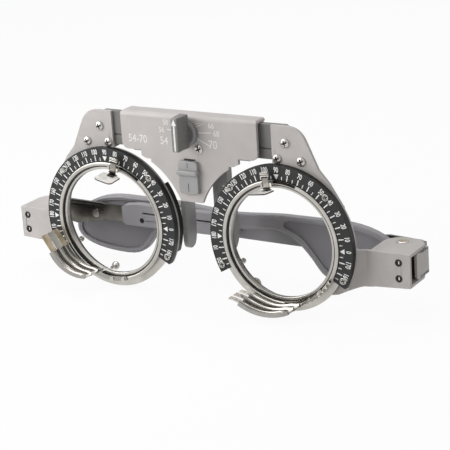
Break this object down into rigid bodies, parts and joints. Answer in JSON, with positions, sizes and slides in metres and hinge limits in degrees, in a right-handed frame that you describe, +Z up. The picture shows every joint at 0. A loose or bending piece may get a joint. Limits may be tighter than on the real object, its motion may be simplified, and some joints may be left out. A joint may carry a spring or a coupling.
{
  "type": "trial lens frame",
  "caption": "Adjustable trial lens frame for eye testing: rack-driven lens rings with turning cells, degree scales, nose rest and folding temples.",
  "frame": {"origin": "middle of the frame in width and depth, level with its lowest edge, temples folded", "axes": "+X to the right as seen from the front, +Y from the front to the back, +Z up"},
  "size_m": [0.1441, 0.0396, 0.0601],
  "materials": {
    "painted_grey": "satin",
    "dark_grey_plastic": "matte",
    "dark_grey_metal": "satin",
    "black_scale": "satin",
    "nickel": "brushed",
    "polished_steel": "polished",
    "dark_nickel": "brushed",
    "grey_plastic": "satin"
  },
  "bodies": {
    "bridge": {"bridge_cover": "painted_grey", "bridge_back_plate": "dark_grey_metal", "bridge_screws": "polished_steel"},
    "pd_dial": {"pd_knob": "dark_grey_plastic", "pd_pinion": "nickel", "knob_clip": "polished_steel"},
    "nose_piece": {"nose_button": "dark_grey_plastic", "nose_carrier": "dark_grey_plastic", "nose_pads": "dark_grey_plastic", "nose_screw": "polished_steel"},
    "left_carriage": {"left_slide_bar": "dark_grey_metal", "left_frame_plate": "painted_grey", "left_shoulder_screws": "polished_steel", "left_bearing_ring": "black_scale", "left_scale_ring": "black_scale", "left_scale_screws": "polished_steel", "left_nasal_block": "black_scale", "left_rear_cell": "nickel", "left_rear_posts": "polished_steel", "left_hinge_pin": "polished_steel", "left_stop_screws": "black_scale", "left_temple_root": "painted_grey", "left_temple_leaf": "dark_nickel", "left_leaf_rivet": "polished_steel"},
    "left_cell": {"left_cell_ring": "nickel", "left_lens_trough": "polished_steel", "left_trough_rivets": "polished_steel", "left_catch_bracket": "polished_steel", "left_catch_pin": "nickel"},
    "left_catch": {"left_catch_lever": "polished_steel"},
    "left_ear_arm": {"left_temple_arm": "grey_plastic", "left_clamp_screw": "black_scale"},
    "right_carriage": {"right_slide_bar": "dark_grey_metal", "right_frame_plate": "painted_grey", "right_shoulder_screws": "polished_steel", "right_bearing_ring": "black_scale", "right_scale_ring": "black_scale", "right_scale_screws": "polished_steel", "right_nasal_block": "black_scale", "right_rear_cell": "nickel", "right_rear_posts": "polished_steel", "right_hinge_pin": "polished_steel", "right_stop_screws": "black_scale"},
    "right_cell": {"right_cell_ring": "nickel", "right_lens_trough": "polished_steel", "right_trough_rivets": "polished_steel", "right_catch_bracket": "polished_steel", "right_catch_pin": "nickel"},
    "right_catch": {"right_catch_lever": "polished_steel"},
    "right_temple": {"right_temple_root": "painted_grey", "right_temple_leaf": "dark_nickel", "right_leaf_rivet": "polished_steel"},
    "right_ear_arm": {"right_temple_arm": "grey_plastic", "right_clamp_screw": "black_scale"}
  },
  "joints": [
    {"name": "right_carriage_slide", "type": "slide", "parent": "bridge", "child": "right_carriage", "axis": [1, 0, 0], "range_m": [-0.004, 0.004]},
    {"name": "left_carriage_slide", "type": "slide", "parent": "bridge", "child": "left_carriage", "axis": [-1, 0, 0], "range_m": [-0.0042, 0.0042]},
    {"name": "pd_knob_turn", "type": "hinge", "parent": "bridge", "child": "pd_dial", "pos_m": [0, -0.0096, 0.0537], "axis": [0, 1, 0], "range_deg": [-118, 118]},
    {"name": "nose_height_slide", "type": "slide", "parent": "bridge", "child": "nose_piece", "axis": [0, 0, 1], "range_m": [-0.005, 0.001]},
    {"name": "left_cell_turn", "type": "hinge", "parent": "left_carriage", "child": "left_cell", "pos_m": [-0.031, -0.0096, 0.0219], "axis": [0, 1, 0], "continuous": true},
    {"name": "left_catch_press", "type": "hinge", "parent": "left_cell", "child": "left_catch", "pos_m": [-0.02668, -0.0112, 0.04061], "axis": [-0.9744, 0, 0.225], "range_deg": [0, 12], "stiffness_Nm_per_rad": 0.05},
    {"name": "right_cell_turn", "type": "hinge", "parent": "right_carriage", "child": "right_cell", "pos_m": [0.031, -0.0096, 0.0219], "axis": [0, 1, 0], "continuous": true},
    {"name": "right_catch_press", "type": "hinge", "parent": "right_cell", "child": "right_catch", "pos_m": [0.02866, -0.0112, 0.04096], "axis": [-0.9925, 0, -0.1219], "range_deg": [0, 12], "stiffness_Nm_per_rad": 0.05},
    {"name": "right_temple_fold", "type": "hinge", "parent": "right_carriage", "child": "right_temple", "pos_m": [0.0645, 0.0056, 0.0169], "axis": [0, 0, -1], "range_deg": [0, 88]},
    {"name": "left_temple_extend", "type": "slide", "parent": "left_carriage", "child": "left_ear_arm", "axis": [0.9996, -0.0279, 0.0087], "range_m": [-0.0076, 0.0024]},
    {"name": "right_temple_extend", "type": "slide", "parent": "right_temple", "child": "right_ear_arm", "axis": [-0.9996, 0.0279, -0.0087], "range_m": [-0.01, 0]}
  ],
  "couplings": [
    {"joint": "left_carriage_slide", "follows": "right_carriage_slide", "ratio": 1},
    {"joint": "pd_knob_turn", "follows": "right_carriage_slide", "rad_per_m": 500}
  ]
}
